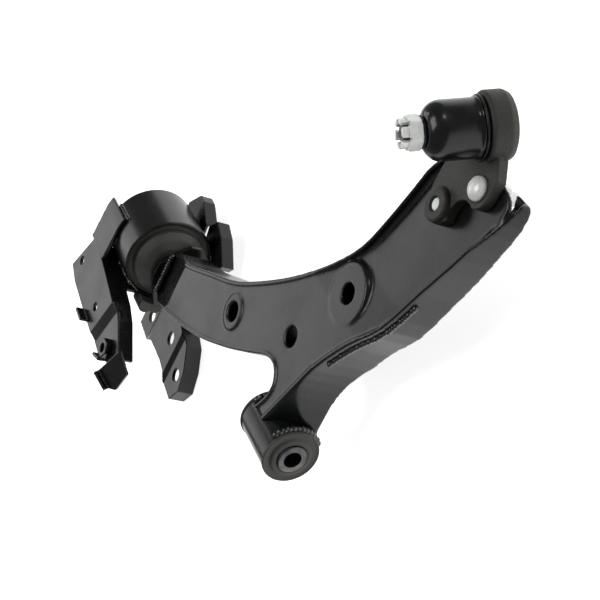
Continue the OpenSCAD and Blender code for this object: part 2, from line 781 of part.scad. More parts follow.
// Screw that comes up through the boss, with its end just inside the mouth.
module lug_screw() color("#c9ccd0")
    translate([ear_boss[0], ear_boss[1], recess_z - sheet_t - gap]) union() {
        translate([0, 0, -6.4]) cylinder(d = 16 / cos(30), h = 6, $fn = 6);
        translate([0, 0, -1.6]) cylinder(d = 21, h = 1.6, $fn = bore_f);
        rotate_extrude($fn = bore_f) polygon([
            [0, 0], [5, 0], [5, 13.6], [4, 14.8], [0, 14.8]]);
    }

arm_upper_shell();
arm_lower_shell();
arm_seam_weld();
arm_end_weld();
front_bush_tube();
front_bush_weld();
front_bush_rubber();
front_inner_sleeve();
rear_stop_plate();
rear_stub_pin();
rear_inner_sleeve();
rear_bush_rubber();
rear_pin_washer();
rear_pin_nut();
rear_bush_shell();
upper_bracket();
lower_bracket();
upper_bracket_weld();
lower_bracket_weld();
bracket_weld_nut();
bracket_rim_tab();
ball_joint_housing();
ball_joint_end_plug();
ball_seat();
ball_stud();
boot_base_ring();
dust_boot();
boot_neck_ring();
castle_nut();
lug_bolt();
lug_bolt_nut();
lug_screw();
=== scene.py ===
"""Finished look of a front lower suspension control arm, on a plain studio floor."""

import json
import math

import bmesh
import bpy
from bpy.props import FloatProperty, FloatVectorProperty, PointerProperty, StringProperty
from mathutils import Matrix, Vector


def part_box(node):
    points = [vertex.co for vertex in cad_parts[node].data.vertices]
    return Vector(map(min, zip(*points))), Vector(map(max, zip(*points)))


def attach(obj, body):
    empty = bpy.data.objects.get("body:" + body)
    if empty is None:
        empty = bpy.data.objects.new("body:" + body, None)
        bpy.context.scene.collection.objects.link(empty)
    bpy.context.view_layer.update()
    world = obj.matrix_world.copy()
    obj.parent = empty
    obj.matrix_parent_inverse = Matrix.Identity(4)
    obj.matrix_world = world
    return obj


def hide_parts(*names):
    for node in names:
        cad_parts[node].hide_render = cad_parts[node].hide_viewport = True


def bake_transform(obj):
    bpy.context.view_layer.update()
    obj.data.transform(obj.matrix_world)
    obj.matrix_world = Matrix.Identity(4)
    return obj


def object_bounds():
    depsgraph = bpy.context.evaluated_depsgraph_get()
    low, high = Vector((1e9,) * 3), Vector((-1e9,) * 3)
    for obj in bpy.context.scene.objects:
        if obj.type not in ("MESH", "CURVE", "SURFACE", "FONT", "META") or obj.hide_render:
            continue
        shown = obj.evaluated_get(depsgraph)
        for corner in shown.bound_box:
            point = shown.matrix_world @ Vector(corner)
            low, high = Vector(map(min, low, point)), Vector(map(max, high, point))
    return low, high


bl_info = {
    "name": "Suspension control arm",
    "version": (1, 0, 0),
    "blender": (4, 5, 0),
    "location": "View3D > Sidebar > Control arm",
    "description": "Builds the finished look of a pressed-steel control arm",
    "category": "Add Mesh",
}

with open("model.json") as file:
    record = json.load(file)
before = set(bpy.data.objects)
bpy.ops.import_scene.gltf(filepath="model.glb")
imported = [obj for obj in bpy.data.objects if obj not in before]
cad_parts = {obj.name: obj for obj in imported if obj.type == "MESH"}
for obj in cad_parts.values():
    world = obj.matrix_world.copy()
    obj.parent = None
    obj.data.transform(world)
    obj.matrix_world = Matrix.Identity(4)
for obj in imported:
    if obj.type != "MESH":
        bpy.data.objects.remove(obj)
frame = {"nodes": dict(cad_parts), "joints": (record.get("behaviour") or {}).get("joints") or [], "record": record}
CAD_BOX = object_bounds()
JOINTS = {joint["name"]: joint for joint in frame["joints"]}
MM = 0.001
# Points closer than this are one point
MERGE_GAP = 0.002 * MM
# Faces that turn less than this many degrees are one flat face
FLAT_ANGLE = 0.4

# Directions of the ball stud: across, forward and along it, from its centre
BALL = Vector(JOINTS["stud_spin"]["pos_m"])
STUD = Matrix(
    (
        JOINTS["stud_tilt_inboard"]["axis"],
        JOINTS["stud_tilt_forward"]["axis"],
        JOINTS["stud_spin"]["axis"],
    )
).transposed()
ON_STUD = Matrix.Translation(BALL) @ STUD.to_4x4()
# A bush axis lies along X: its own Z becomes X, and its own X becomes Y
ALONG_X = Matrix(((0, 0, 1, 0), (1, 0, 0, 0), (0, 1, 0, 0), (0, 0, 0, 1)))
REAR_BUSH = Vector(JOINTS["rear_bush_twist"]["pos_m"])


# ---- sizes and colours a user may change ------------------------------------------------


def size_property(name, description, millimetres):
    """A small length, given in millimetres and kept in metres."""
    return FloatProperty(
        name=name,
        description=description,
        default=millimetres * MM,
        min=0.05 * MM,
        max=60 * MM,
        unit="LENGTH",
        precision=4,
    )


def colour_property(name, description, default):
    """A colour kept as an sRGB hex code."""
    return StringProperty(name=name, description=description, default=default, maxlen=6)


class ControlArmColours(bpy.types.PropertyGroup):
    """Base colours of the finishes, as sRGB hex codes."""

    paint: colour_property("Paint", "Black dip paint of the pressings", "0b0c0d")
    rubber: colour_property("Bush rubber", "Bonded rubber of both bushes", "3a3a38")
    boot: colour_property("Boot rubber", "Rubber of the dust boot", "0c0d0f")
    forging: colour_property("Forging", "Phosphated ball joint housing", "2b2a27")
    steel: colour_property("Turned steel", "Inner sleeves and the stud", "6a6864")
    zinc: colour_property("Zinc", "Plated nut and bolts", "f4f5f0")
    wire: colour_property("Wire", "Clip rings of the boot", "242526")
    acetal: colour_property("Acetal", "Seat of the ball", "d9d5c6")


class ControlArmSizes(bpy.types.PropertyGroup):
    """Radii and small sizes of the modelled pieces."""

    rim_radius: size_property("Sheet rim", "Rounding of the pressings' cut edges", 1.2)
    bracket_rim: size_property("Bracket rim", "Rounding of the bracket's edges", 0.9)
    forging_radius: size_property("Forging edge", "Rounding of the housing's edges", 1.4)
    bead_width: size_property("Bead width", "Width of a weld bead", 6.0)
    bead_height: size_property("Bead height", "Height of a weld bead", 2.6)
    ripple_pitch: size_property("Ripple pitch", "Distance between weld ripples", 2.8)


class ControlArmStage(bpy.types.PropertyGroup):
    """Camera and floor."""

    camera_place: FloatVectorProperty(
        name="Camera place",
        description="Where the camera stands",
        default=(0.8557, 0.5476, 0.6027),
        unit="LENGTH",
    )
    camera_turn: FloatVectorProperty(
        name="Camera turn",
        description="Direction of the camera",
        default=tuple(math.radians(a) for a in (21.408, 57.074, 51.694)),
        subtype="EULER",
    )
    lens: FloatProperty(
        name="Lens", description="Focal length on a 36 mm sensor", default=91.376, min=20, max=300
    )
    floor_width: FloatProperty(
        name="Floor width",
        description="Width of the floor",
        default=9.0,
        min=1,
        max=40,
        unit="LENGTH",
    )


def sizes():
    """The sizes set in the scene."""
    return bpy.context.scene.control_arm_sizes


def colours():
    """The colours set in the scene."""
    return bpy.context.scene.control_arm_colours


# ---- finishes ---------------------------------------------------------------------------


def linear(colour):
    """Linear RGBA of an sRGB hex colour, such as 1a1b1c."""
    parts = [int(colour[i : i + 2], 16) / 255 for i in (0, 2, 4)]
    return [c / 12.92 if c <= 0.04045 else ((c + 0.055) / 1.055) ** 2.4 for c in parts] + [1.0]


def add_node(tree, kind, inputs=None, **settings):
    """Adds a node, sets it, and fills its inputs with numbers or with other sockets."""
    made = tree.nodes.new(kind)
    for name, value in settings.items():
        setattr(made, name, value)
    for name, value in (inputs or {}).items():
        if isinstance(value, bpy.types.NodeSocket):
            tree.links.new(value, made.inputs[name])
        else:
            made.inputs[name].default_value = value
    return made


def new_material(name, **surface):
    """A material with a Principled shader; gives the material, its tree and the shader."""
    material = bpy.data.materials.new(name)
    material.use_nodes = True
    tree = material.node_tree
    shader = tree.nodes["Principled BSDF"]
    for socket, value in surface.items():
        shader.inputs[socket.replace("_", " ")].default_value = value
    return material, tree, shader


# A wave texture of scale 1 has this many metres from crest to crest, turned over
WAVES = math.tau / 20


def per_mm(size):
    """Texture scale that gives features of about this many millimetres."""
    return 1000 / size


def dress(tree, shader, tint, shades, stretch=(0.3, 0.7)):
    """Colours a surface between two hex shades by a pattern, stretched from a part of its run."""
    share = add_node(
        tree,
        "ShaderNodeMapRange",
        {"Value": tint, "From Min": stretch[0], "From Max": stretch[1]},
    ).outputs["Result"]
    # 6 and 7 are a Mix node's colours, which share their names with its numbers
    mix = add_node(
        tree,
        "ShaderNodeMix",
        {"Factor": share, 6: linear(shades[0]), 7: linear(shades[1])},
        data_type="RGBA",
    )
    tree.links.new(mix.outputs[2], shader.inputs["Base Color"])


def texture(tree, shader, gloss, roughness, relief=None, depth=0.0):
    """Varies a surface's roughness between two values, and its height by millimetres."""
    low, high = roughness
    rough = add_node(
        tree,
        "ShaderNodeMapRange",
        {"Value": gloss, "From Min": 0.3, "From Max": 0.7, "To Min": low, "To Max": high},
    )
    tree.links.new(rough.outputs["Result"], shader.inputs["Roughness"])
    if relief is not None:
        bump = add_node(tree, "ShaderNodeBump", {"Height": relief, "Distance": depth * MM})
        tree.links.new(bump.outputs["Normal"], shader.inputs["Normal"])


def black_dip_paint():
    """Black electro-dip paint on pressed steel: deep, wet-looking, a little orange peel."""
    material, tree, shader = new_material(
        "black_dip_paint", Roughness=0.24, Specular_IOR_Level=0.38
    )
    place = add_node(tree, "ShaderNodeTexCoord").outputs["Object"]
    # the film is thicker and glossier in patches a few centimetres across
    patches = add_node(
        tree, "ShaderNodeTexNoise", {"Vector": place, "Scale": per_mm(35), "Detail": 3.0}
    ).outputs["Fac"]
    # faint dust and rubs left by handling, under a millimetre across
    specks = add_node(
        tree, "ShaderNodeTexNoise", {"Vector": place, "Scale": per_mm(1.6), "Detail": 4.0}
    ).outputs["Fac"]
    dress(tree, shader, specks, (colours().paint, "1a1c1e"), (0.45, 0.8))
    # orange peel, about 3 mm from crest to crest
    peel = add_node(
        tree, "ShaderNodeTexNoise", {"Vector": place, "Scale": per_mm(6), "Detail": 1.0}
    ).outputs["Fac"]
    texture(tree, shader, patches, (0.19, 0.31), peel, 0.05)
    return material


def painted_weld():
    """Black paint over a weld: thin on the crests, with rough scale under it."""
    material, tree, shader = new_material(
        "painted_weld_bead", Roughness=0.2, Specular_IOR_Level=0.8
    )
    place = add_node(tree, "ShaderNodeTexCoord").outputs["Object"]
    scale = add_node(
        tree, "ShaderNodeTexNoise", {"Vector": place, "Scale": per_mm(1.8), "Detail": 5.0}
    ).outputs["Fac"]
    dress(tree, shader, scale, (colours().paint, "26282a"))
    texture(tree, shader, scale, (0.12, 0.28), scale, 0.25)
    return material


def bonded_rubber():
    """Natural rubber moulded into a bush: matt, with a dusty bloom and a fine mould grain."""
    material, tree, shader = new_material(
        "bonded_bush_rubber", Roughness=0.6, Specular_IOR_Level=0.35
    )
    place = add_node(tree, "ShaderNodeTexCoord").outputs["Object"]
    bloom = add_node(
        tree, "ShaderNodeTexNoise", {"Vector": place, "Scale": per_mm(12), "Detail": 6.0}
    ).outputs["Fac"]
    grain = add_node(
        tree, "ShaderNodeTexNoise", {"Vector": place, "Scale": per_mm(0.9), "Detail": 3.0}
    ).outputs["Fac"]
    dress(tree, shader, bloom, (colours().rubber, "464643"))
    texture(tree, shader, bloom, (0.5, 0.72), grain, 0.06)
    return material


def boot_rubber():
    """Chloroprene boot: smooth black rubber with a soft shine from a polished mould."""
    material, tree, shader = new_material(
        "dust_boot_rubber", Roughness=0.2, Specular_IOR_Level=0.4
    )
    place = add_node(tree, "ShaderNodeTexCoord").outputs["Object"]
    smear = add_node(
        tree, "ShaderNodeTexNoise", {"Vector": place, "Scale": per_mm(14), "Detail": 5.0}
    ).outputs["Fac"]
    dress(tree, shader, smear, (colours().boot, "17181a"))
    skin = add_node(
        tree, "ShaderNodeTexNoise", {"Vector": place, "Scale": per_mm(1.2), "Detail": 2.0}
    ).outputs["Fac"]
    texture(tree, shader, smear, (0.16, 0.26), skin, 0.02)
    return material


def phosphated_forging():
    """Hot-forged steel, shot-blasted and phosphated: matt dark grey with a sandy grain."""
    material, tree, shader = new_material(
        "phosphated_forging", Roughness=0.55, Specular_IOR_Level=0.45
    )
    place = add_node(tree, "ShaderNodeTexCoord").outputs["Object"]
    grit = add_node(
        tree, "ShaderNodeTexNoise", {"Vector": place, "Scale": per_mm(1.1), "Detail": 6.0}
    ).outputs["Fac"]
    stain = add_node(
        tree, "ShaderNodeTexNoise", {"Vector": place, "Scale": per_mm(16), "Detail": 4.0}
    ).outputs["Fac"]
    dress(tree, shader, stain, (colours().forging, "35342f"))
    texture(tree, shader, grit, (0.45, 0.68), grit, 0.3)
    return material


def turned_steel():
    """Turned steel with a thin dark oil coat: fine rings round the bore."""
    material, tree, shader = new_material("turned_steel", Metallic=1.0, Roughness=0.35)
    place = add_node(tree, "ShaderNodeTexCoord").outputs["Object"]
    # tool marks about 0.4 mm apart, drawn at 0.8 mm so that they show
    rings = add_node(
        tree,
        "ShaderNodeTexWave",
        {"Vector": place, "Scale": per_mm(0.8) * WAVES, "Distortion": 0.4, "Detail": 2.0},
        wave_type="RINGS",
        rings_direction="X",
    ).outputs["Fac"]
    stain = add_node(
        tree, "ShaderNodeTexNoise", {"Vector": place, "Scale": per_mm(9), "Detail": 5.0}
    ).outputs["Fac"]
    dress(tree, shader, stain, (colours().steel, "46474a"))
    texture(tree, shader, stain, (0.3, 0.48), rings, 0.02)
    return material


def bright_zinc():
    """Bright zinc plate on a cold-formed nut or bolt: silver-white, slightly milky."""
    material, tree, shader = new_material("bright_zinc_plate", Metallic=0.15, Roughness=0.36)
    place = add_node(tree, "ShaderNodeTexCoord").outputs["Object"]
    milk = add_node(
        tree, "ShaderNodeTexNoise", {"Vector": place, "Scale": per_mm(5), "Detail": 5.0}
    ).outputs["Fac"]
    dress(tree, shader, milk, (colours().zinc, "dfe2e0"))
    texture(tree, shader, milk, (0.26, 0.42), milk, 0.03)
    return material


def blackened_wire():
    """Oil-blackened spring wire: dark, with a tight metallic glint."""
    material, tree, shader = new_material("blackened_spring_wire", Metallic=0.8)
    place = add_node(tree, "ShaderNodeTexCoord").outputs["Object"]
    draw = add_node(
        tree, "ShaderNodeTexNoise", {"Vector": place, "Scale": per_mm(2), "Detail": 3.0}
    ).outputs["Fac"]
    dress(tree, shader, draw, (colours().wire, "3a3b3d"))
    texture(tree, shader, draw, (0.3, 0.45))
    return material


def natural_acetal():
    """Natural acetal seat: ivory plastic with a faint waxy depth."""
    material, tree, shader = new_material(
        "natural_acetal", Roughness=0.42, IOR=1.48, Subsurface_Weight=0.15
    )
    shader.inputs["Subsurface Scale"].default_value = 0.002
    place = add_node(tree, "ShaderNodeTexCoord").outputs["Object"]
    flow = add_node(
        tree, "ShaderNodeTexNoise", {"Vector": place, "Scale": per_mm(8), "Detail": 3.0}
    ).outputs["Fac"]
    dress(tree, shader, flow, (colours().acetal, "c4c0b0"))
    return material


def light_table_acrylic():
    """White acrylic of a light table: it glows a little, so shadows on it stay faint."""
    material, tree, shader = new_material(
        "light_table_acrylic", Roughness=0.95, Specular_IOR_Level=0.1, Emission_Strength=0.82
    )
    shader.inputs["Emission Color"].default_value = linear("ffffff")
    place = add_node(tree, "ShaderNodeTexCoord").outputs["Object"]
    tooth = add_node(
        tree, "ShaderNodeTexNoise", {"Vector": place, "Scale": per_mm(60), "Detail": 2.0}
    ).outputs["Fac"]
    dress(tree, shader, tooth, ("fdfdfd", "f8f8f8"), (0, 1))
    return material


FINISHES = {
    "black_paint": black_dip_paint,
    "painted_weld": painted_weld,
    "bush_rubber": bonded_rubber,
    "boot_rubber": boot_rubber,
    "forged_black": phosphated_forging,
    "machined_steel": turned_steel,
    "zinc_plate": bright_zinc,
    "spring_wire": blackened_wire,
    "seat_plastic": natural_acetal,
}
SLOT_OF = {part["node"]: part["material_slot"] for part in frame["record"]["subparts"]}
BODY_OF = {
    node: body
    for body, nodes in frame["record"]["behaviour"]["bodies"].items()
    for node in nodes
}
made_finishes = {}


def give_finish(piece, slot):
    """Gives a piece the material of its slot, which is made once."""
    if slot not in made_finishes:
        made_finishes[slot] = FINISHES[slot]()
    piece.data.materials.clear()
    piece.data.materials.append(made_finishes[slot])


# ---- shaping ----------------------------------------------------------------------------


def only(piece):
    """Selects one object and makes it active."""
    if bpy.context.mode != "OBJECT":
        bpy.ops.object.mode_set(mode="OBJECT")
    bpy.ops.object.select_all(action="DESELECT")
    piece.select_set(True)
    bpy.context.view_layer.objects.active = piece


def edit(piece):
    """Opens one object for editing with all of it selected."""
    only(piece)
    bpy.ops.object.mode_set(mode="EDIT")
    bpy.ops.mesh.select_mode(type="VERT")
    bpy.ops.mesh.select_all(action="SELECT")


def done():
    """Leaves edit mode."""
    bpy.ops.object.mode_set(mode="OBJECT")


def close_up(piece):
    """Merges doubles and turns all faces outwards."""
    edit(piece)
    bpy.ops.mesh.remove_doubles(threshold=MERGE_GAP)
    bpy.ops.mesh.normals_make_consistent(inside=False)
    done()


def apply_modifier(piece, kind, **settings):
    """Adds a modifier, sets it and applies it."""
    only(piece)
    made = piece.modifiers.new(kind.lower(), kind)
    for name, value in settings.items():
        setattr(made, name, value)
    bpy.ops.object.modifier_apply(modifier=made.name)


def smooth(piece, angle):
    """Smooth shading that breaks at sharp edges."""
    only(piece)
    bpy.ops.object.shade_smooth_by_angle(angle=math.radians(angle))


def place_piece(piece, matrix):
    """Puts a piece made about its own axis in its place in the part."""
    piece.matrix_world = matrix
    only(piece)
    bpy.ops.object.transform_apply(location=True, rotation=True, scale=True)


def hand_over(piece, *nodes):
    """Gives a finished piece its body, the CAD nodes it stands for and its finish."""
    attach(piece, BODY_OF[nodes[0]])
    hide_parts(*nodes)
    give_finish(piece, SLOT_OF[nodes[0]])


def copy_of(node, name):
    """A merged copy of a CAD node's mesh, with flat faces in one piece each."""
    source = frame["nodes"][node]
    piece = bpy.data.objects.new(name, source.data.copy())
    bpy.context.scene.collection.objects.link(piece)
    edit(piece)
    bpy.ops.mesh.remove_doubles(threshold=MERGE_GAP)
    bpy.ops.mesh.dissolve_limited(angle_limit=math.radians(FLAT_ANGLE))
    bpy.ops.mesh.remove_doubles(threshold=10 * MERGE_GAP)
    done()
    return piece


def weigh_edges(piece, sharp):
    """Gives full bevel weight to the edges that turn more than so many degrees."""
    edit(piece)
    shape = bmesh.from_edit_mesh(piece.data)
    layer = shape.edges.layers.float.get("bevel_weight_edge")
    if layer is None:
        layer = shape.edges.layers.float.new("bevel_weight_edge")
    for edge in shape.edges:
        angle = edge.calc_face_angle(0.0) if len(edge.link_faces) == 2 else 0.0
        edge[layer] = 1.0 if math.degrees(angle) > sharp else 0.0
    bmesh.update_edit_mesh(piece.data)
    done()


def soften(piece, width, sharp=33, segments=2):
    """Rounds the sharp edges of a piece over a width in metres."""
    weigh_edges(piece, sharp)
    apply_modifier(
        piece,
        "BEVEL",
        width=width,
        segments=segments,
        limit_method="WEIGHT",
        use_clamp_overlap=False,
        miter_outer="MITER_ARC",
        loop_slide=True,
    )
    smooth(piece, 32)
    # the large faces keep their own direction, so that only the rims shade round
    apply_modifier(piece, "WEIGHTED_NORMAL", weight=80, keep_sharp=True)


def melt_edges(piece, voxel, rounds, keep=1.0):
    """Rounds every edge of a pressing or forging at once, by a fine remesh and smoothing."""
    apply_modifier(piece, "REMESH", mode="VOXEL", voxel_size=voxel)
    apply_modifier(piece, "SMOOTH", factor=0.5, iterations=rounds)
    if keep < 1:
        apply_modifier(piece, "DECIMATE", ratio=keep)
    smooth(piece, 60)


def start_profile(name, first):
    """A mesh of one vertex at a profile's first (radius, height), left open for editing."""
    bpy.ops.mesh.primitive_plane_add(size=MM, location=(0, 0, 0))
    piece = bpy.context.object
    piece.name = piece.data.name = name
    edit(piece)
    bpy.ops.mesh.merge(type="CENTER")
    bpy.ops.transform.translate(value=(first[0], 0, first[1]))
    return piece


def spun(name, points, matrix, steps=128, rounding=0.0):
    """Turns a closed outline of (radius, height) millimetres about Z, and puts it in place."""
    profile = [(radius * MM, height * MM) for radius, height in points]
    piece = start_profile(name, profile[0])
    previous = profile[0]
    for radius, height in profile[1:] + profile[:1]:
        bpy.ops.mesh.extrude_region_move(
            TRANSFORM_OT_translate={"value": (radius - previous[0], 0, height - previous[1])}
        )
        previous = (radius, height)
    bpy.ops.mesh.select_all(action="SELECT")
    bpy.ops.mesh.remove_doubles(threshold=0.001 * MM)
    if rounding:
        bpy.ops.mesh.bevel(
            affect="VERTICES", offset=rounding * MM, segments=4, clamp_overlap=True
        )
        bpy.ops.mesh.select_all(action="SELECT")
    bpy.ops.mesh.spin(
        steps=steps, angle=math.tau, center=(0, 0, 0), axis=(0, 0, 1), use_auto_merge=True
    )
    done()
    close_up(piece)
    smooth(piece, 40)
    place_piece(piece, matrix)
    return piece


# A ripple reaches this many pitches to each side, so that it overlaps its neighbours
RIPPLE_REACH = 1.25
# Fineness of the remesh that melts the ripples into one bead
BEAD_VOXEL = 0.42 * MM
# The front tube's beads run along both faces of the leg, this far from the tube's middle,
# and over so many degrees to each side of the arm
LEG_HALF_WIDTH = 22.4 * MM
TUBE_BEAD_ARC = 54


def weld_bead(name, path, width, height, pitch):
    """A row of overlapping weld ripples along a path of (point, along, out) triples."""
    bpy.ops.mesh.primitive_uv_sphere_add(segments=16, ring_count=10, radius=1)
    ripple = bpy.context.object
    ripple.name = name
    # a ripple is a leaning dish: steeper on the side that was laid last
    edit(ripple)
    shape = bmesh.from_edit_mesh(ripple.data)
    for vertex in shape.verts:
        vertex.select = vertex.co.x > 0.2
    shape.select_flush_mode()
    bpy.ops.transform.translate(value=(-0.35, 0, 0.08))
    done()
    copies = []
    for number, (point, along, out) in enumerate(path):
        # a hand-laid bead swells and thins a little, out of step with its ripples
        wobble = 1 + 0.08 * math.sin(number * 2.4) + 0.05 * math.sin(number * 5.1 + 1)
        side = out.cross(along).normalized()
        size = Matrix.Diagonal((pitch * RIPPLE_REACH, width / 2 * wobble, height * wobble, 1))
        turn = Matrix((along, side, out)).transposed().to_4x4()
        copy = ripple.copy()
        copy.data = ripple.data.copy()
        bpy.context.scene.collection.objects.link(copy)
        copy.data.transform(Matrix.Translation(point) @ turn @ size)
        copies.append(copy)
    bpy.data.objects.remove(ripple)
    only(copies[0])
    for copy in copies:
        copy.select_set(True)
    bpy.ops.object.join()
    piece = bpy.context.object
    piece.name = piece.data.name = name
    piece.matrix_world = Matrix.Identity(4)
    melt_edges(piece, BEAD_VOXEL, 2)
    return piece


def arc_path(radius, along_axis, arc, pitch):
    """Ripple places round the front bush, over so many degrees to each side of the arm."""
    count = max(2, int(math.radians(2 * arc) * radius / pitch))
    turn = ALONG_X.to_3x3()
    places = []
    for step in range(count + 1):
        angle = math.radians(arc * (2 * step / count - 1))
        out = turn @ Vector((math.cos(angle), math.sin(angle), 0))
        along = turn @ Vector((-math.sin(angle), math.cos(angle), 0))
        point = out * radius + turn @ Vector((0, 0, along_axis))
        places.append((point, along, out))
    return places


def islands(node):
    """The separate solids of a CAD node, each as a list of points."""
    shape = bmesh.new()
    shape.from_mesh(frame["nodes"][node].data)
    bmesh.ops.remove_doubles(shape, verts=shape.verts, dist=MERGE_GAP)
    left = set(shape.verts)
    found = []
    while left:
        waiting = [left.pop()]
        group = []
        while waiting:
            vertex = waiting.pop()
            group.append(vertex.co.copy())
            for edge in vertex.link_edges:
                other = edge.other_vert(vertex)
                if other in left:
                    left.remove(other)
                    waiting.append(other)
        found.append(sorted(group, key=tuple))
    shape.free()
    return sorted(found, key=lambda group: sum(group, Vector()).x / len(group))


def seam_path(points, pitch, way=None):
    """Ripple places down the middle of a long, thin solid, facing a way out of its root.

    With no way given, the bead faces away from the rear bush's axis.
    """
    middle = sum(points, Vector()) / len(points)
    # the two points furthest apart give the run of the bead
    first = max(points, key=lambda point: (point - middle).length)
    last = max(points, key=lambda point: (point - first).length)
    run = last - first
    count = max(2, int(run.length / pitch))
    slices = [[] for _ in range(count + 1)]
    for point in points:
        share = (point - first).dot(run) / run.length_squared
        slices[min(count, max(0, round(share * count)))].append(point)
    centres = {
        number: sum(group, Vector()) / len(group) for number, group in enumerate(slices) if group
    }
    known = sorted(centres)
    places = []
    for number in range(count + 1):
        low = max((k for k in known if k <= number), default=known[0])
        high = min((k for k in known if k >= number), default=known[-1])
        share = (number - low) / (high - low) if high > low else 0
        places.append(centres[low].lerp(centres[high], share))
    if way is None:
        way = middle - REAR_BUSH
        way.x = 0
    straight = run.normalized()
    across = (way - straight * way.dot(straight)).normalized()
    path = []
    for number, place in enumerate(places):
        before, after = places[max(number - 1, 0)], places[min(number + 1, count)]
        along = (after - before).normalized()
        out = (across - along * across.dot(along)).normalized()
        # the bead is rooted a millimetre deep
        path.append((place - out * MM, along, out))
    return path


# ---- the pieces -------------------------------------------------------------------------

# The dust boot, in millimetres from the ball's centre along the stud
BOOT_RADIUS = 20.0
BOOT_WALL = 2.2
BOOT_FOOT = 7.2
BOOT_TOP = 47.0
BOOT_SHOULDER = 12.0
BOOT_NECK = 7.9
# Its two halves meet here
BOOT_SPLIT = 20.5
# Rings of its straight wall
LOW_RING = 17.0
HIGH_RINGS = (25.0, 30.0)


class CONTROLARM_OT_arm_shells(bpy.types.Operator):
    """Joins the two arm pressings into one welded box with rounded folds and rims"""

    bl_idname = "controlarm.arm_shells"
    bl_label = "Arm shells"

    def execute(self, context):
        nodes = ("arm_lower_shell", "arm_upper_shell")
        lower, upper = [copy_of(node, "pressed_arm") for node in nodes]
        only(lower)
        upper.select_set(True)
        bpy.ops.object.join()
        melt_edges(lower, sizes().rim_radius, 6, keep=0.5)
        hand_over(lower, *nodes)
        return {"FINISHED"}


class CONTROLARM_OT_bracket(bpy.types.Operator):
    """Rounds the edges of the rear bracket's pieces, the bush shell and the stop plate"""

    bl_idname = "controlarm.bracket"
    bl_label = "Rear bracket"

    def execute(self, context):
        voxel = sizes().bracket_rim * 0.7
        for node, name in (
            ("upper_bracket", "bracket_upper_pressing"),
            ("lower_bracket", "bracket_lower_pressing"),
            ("bracket_weld_nut", "weld_nut"),
            ("bracket_rim_tab", "rim_lug"),
        ):
            piece = copy_of(node, name)
            melt_edges(piece, voxel, 3, keep=0.5)
            hand_over(piece, node)
        for node, name in (
            ("rear_bush_shell", "bush_shell_rear"),
            ("rear_stop_plate", "stop_plate"),
        ):
            piece = copy_of(node, name)
            soften(piece, sizes().bracket_rim, segments=3)
            hand_over(piece, node)
        return {"FINISHED"}


class CONTROLARM_OT_front_bush(bpy.types.Operator):
    """Models the front bush: tube, moulded rubber and inner sleeve"""

    bl_idname = "controlarm.front_bush"
    bl_label = "Front bush"

    def execute(self, context):
        tube = copy_of("front_bush_tube", "front_tube")
        soften(tube, sizes().rim_radius * 0.6)
        hand_over(tube, "front_bush_tube")

        # radii and half lengths along the bush, in millimetres
        lip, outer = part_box("front_bush_rubber")[1].xy / MM
        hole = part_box("front_inner_sleeve")[1].y / MM + 0.05
        tube_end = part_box("front_bush_tube")[1].x / MM + 0.05
        # from the hole outwards: a raised ring round the sleeve, a groove and an outer lip
        half = [
            (hole, lip - 0.6),
            (hole + 1.6, lip),
            (hole + 4.0, lip - 0.6),
            (hole + 5.6, lip - 2.6),
            (outer - 2.2, lip - 2.4),
            (outer - 0.6, lip - 1.6),
            (outer, tube_end + 1.6),
            (outer, tube_end),
            (outer - 3.3, tube_end),
        ]
        mirrored = [(radius, -height) for radius, height in reversed(half)]
        rubber = spun("front_rubber", half + mirrored, ALONG_X, steps=96, rounding=0.5)
        hand_over(rubber, "front_bush_rubber")

        sleeve = copy_of("front_inner_sleeve", "front_sleeve_steel")
        soften(sleeve, 0.35 * MM)
        hand_over(sleeve, "front_inner_sleeve")
        return {"FINISHED"}


class CONTROLARM_OT_rear_bush(bpy.types.Operator):
    """Models the rear bush rubber and rounds the pin, washer and nut"""

    bl_idname = "controlarm.rear_bush"
    bl_label = "Rear bush"

    def execute(self, context):
        for node, name, width in (
            ("rear_bush_rubber", "rear_rubber", 0.9),
            ("rear_stub_pin", "stub_pin", 0.3),
            ("rear_inner_sleeve", "rear_sleeve_steel", 0.4),
            ("rear_pin_washer", "pin_washer", 0.4),
            ("rear_pin_nut", "pin_nut", 0.4),
        ):
            piece = copy_of(node, name)
            soften(piece, width * MM, sharp=20)
            hand_over(piece, node)
        return {"FINISHED"}


class CONTROLARM_OT_ball_joint(bpy.types.Operator):
    """Rounds the forged housing, its cover, the ball's seat and the stud"""

    bl_idname = "controlarm.ball_joint"
    bl_label = "Ball joint"

    def execute(self, context):
        housing = copy_of("ball_joint_housing", "forged_housing")
        melt_edges(housing, sizes().forging_radius * 0.36, 8)
        hand_over(housing, "ball_joint_housing")
        for node, name in (
            ("ball_joint_end_plug", "end_cover"),
            ("ball_seat", "acetal_seat"),
            ("ball_stud", "ball_and_stud"),
        ):
            piece = copy_of(node, name)
            soften(piece, 0.3 * MM, sharp=24, segments=3)
            hand_over(piece, node)
        return {"FINISHED"}


